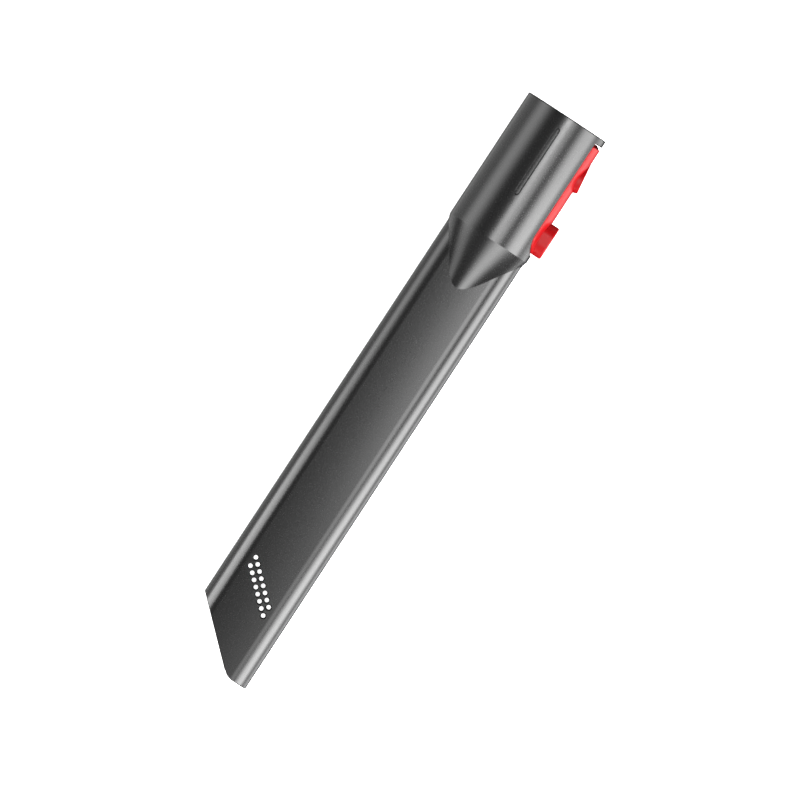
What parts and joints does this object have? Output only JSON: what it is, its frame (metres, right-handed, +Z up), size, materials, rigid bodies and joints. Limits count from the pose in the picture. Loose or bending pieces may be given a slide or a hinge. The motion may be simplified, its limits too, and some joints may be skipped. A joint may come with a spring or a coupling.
{
  "type": "vacuum crevice tool",
  "caption": "Flat tube nozzle with a slanted open tip, bleed holes and a round push-fit collar that carries a rocking red release latch.",
  "frame": {"origin": "on the floor, under the middle of the part's footprint", "axes": "+X runs from the round mouth towards the slanted tip, +Y points out through the release latch and +Z is up, out of the flat side. The part lies on its collar and its tip, so its own axis falls 2.85 degrees towards the tip."},
  "size_m": [0.2833, 0.0434, 0.0424],
  "materials": {
    "grey_moulding": "satin injection moulding with a fine spark texture",
    "red_moulding": "smooth red injection moulding",
    "spring_wire": "drawn steel wire with ground ends"
  },
  "bodies": {
    "tool": {"tool_body": "grey_moulding", "latch_spring": "spring_wire"},
    "latch": {"release_latch": "red_moulding"}
  },
  "joints": [
    {"name": "latch_rock", "type": "hinge", "parent": "tool", "child": "latch", "pos_m": [-0.10397, 0.01144, 0.02093], "axis": [-0.0497, 0, -0.9988], "range_deg": [0, 5], "stiffness_Nm_per_rad": 0.174, "springref_deg": -12.03, "deforming": ["latch_spring"]}
  ]
}
